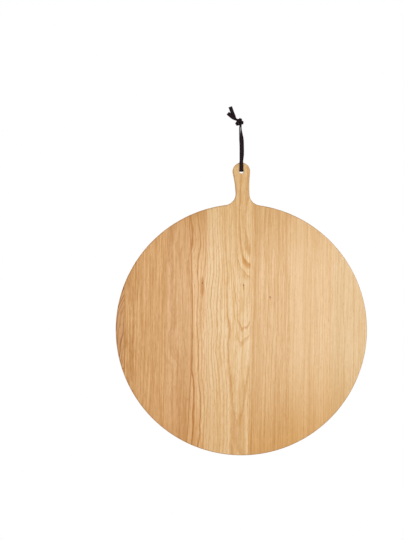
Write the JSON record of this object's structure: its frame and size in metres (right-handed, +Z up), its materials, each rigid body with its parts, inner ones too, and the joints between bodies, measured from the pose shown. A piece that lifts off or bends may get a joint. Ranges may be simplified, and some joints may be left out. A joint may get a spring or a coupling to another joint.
{
  "type": "round cutting board",
  "caption": "Round oak cutting and serving board glued up from staves, with a short handle, a juice groove on one face and a knotted leather hanging strap",
  "frame": {"origin": "the hanging eye: the place under the knot where the strap's two strands come together and the peg carries it", "axes": "X to the right as seen from the plain face, Y from the plain face towards the groove face, Z up; the board hangs upright below the origin"},
  "size_m": [0.43, 0.022, 0.598],
  "materials": {
    "oak_light": "oiled satin",
    "oak_brown": "oiled satin",
    "oak_dark": "oiled satin",
    "dark_leather": "waxed satin"
  },
  "bodies": {
    "strap": {"leather_strap": "dark_leather"},
    "board": {"stave_1_left_edge": "oak_dark", "stave_2_left": "oak_brown", "stave_3_left_centre": "oak_brown", "stave_4_handle": "oak_light", "stave_5_right_centre": "oak_brown", "stave_6_right": "oak_light", "stave_7_right_edge": "oak_light"}
  },
  "joints": [
    {"name": "board_swing", "type": "hinge", "parent": "strap", "child": "board", "pos_m": [0, 0, -0.074], "axis": [0, 1, 0], "range_deg": [-110, 110]}
  ]
}
